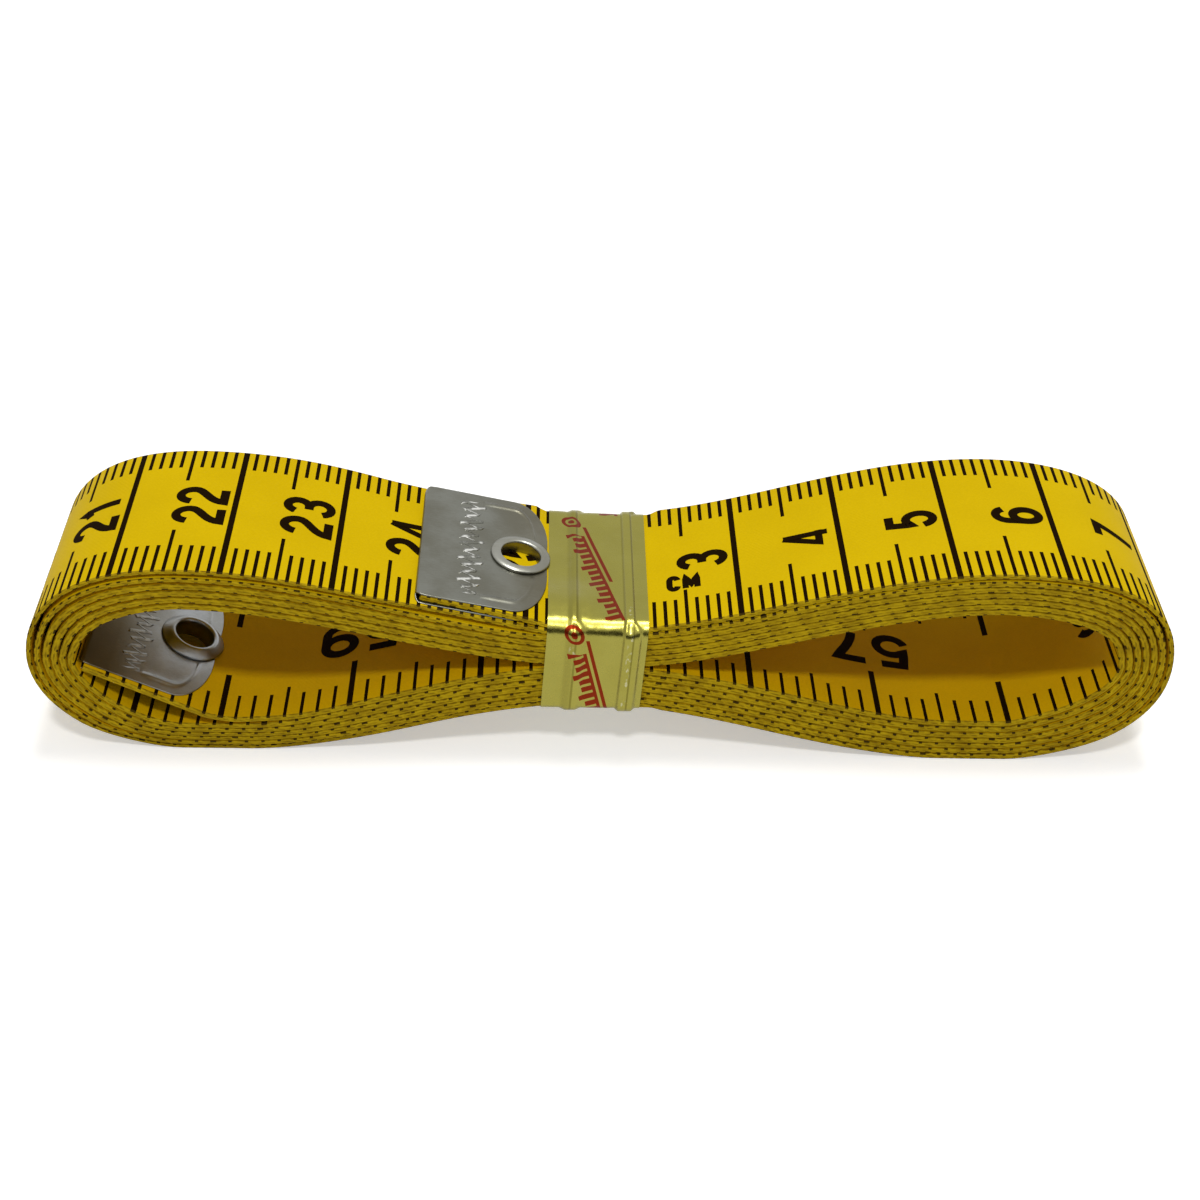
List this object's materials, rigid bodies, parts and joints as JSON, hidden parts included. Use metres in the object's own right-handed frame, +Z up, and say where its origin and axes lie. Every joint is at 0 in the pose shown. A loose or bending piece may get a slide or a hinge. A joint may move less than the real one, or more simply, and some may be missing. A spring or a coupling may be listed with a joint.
{
  "type": "cloth tape measure",
  "caption": "Cloth tape measure wound flat into a two-lobed bundle, held at its waist by a foil band, with a folded metal tip and an eyelet on each end.",
  "frame": {"origin": "middle of the bundle's box on the surface that it stands on", "axes": "+X along the bundle from the left lobe to the right lobe, +Y across the tape from its front edge to its back edge, +Z up"},
  "size_m": [0.1062, 0.02, 0.022],
  "materials": {
    "coated_cloth": "coated yellow cloth, satin",
    "gold_foil": "gold foil, satin with glossy creases",
    "plated_steel": "plated, worn satin"
  },
  "bodies": {
    "bundle": {"tape_coil": "coated_cloth", "foil_band": "gold_foil"},
    "outer_end": {"tape_outer_end": "coated_cloth", "outer_tip": "plated_steel", "outer_eyelet": "plated_steel"},
    "inner_end": {"tape_inner_end": "coated_cloth", "inner_tip": "plated_steel", "inner_eyelet": "plated_steel"}
  },
  "joints": [
    {"name": "outer_end_lift", "type": "hinge", "parent": "bundle", "child": "outer_end", "pos_m": [-0.00522, 0, 0.01615], "axis": [0, 1, 0], "range_deg": [0, 80]},
    {"name": "inner_end_lift", "type": "hinge", "parent": "bundle", "child": "inner_end", "pos_m": [-0.03605, 0, 0.00457], "axis": [0, 1, 0], "range_deg": [0, 25]}
  ]
}
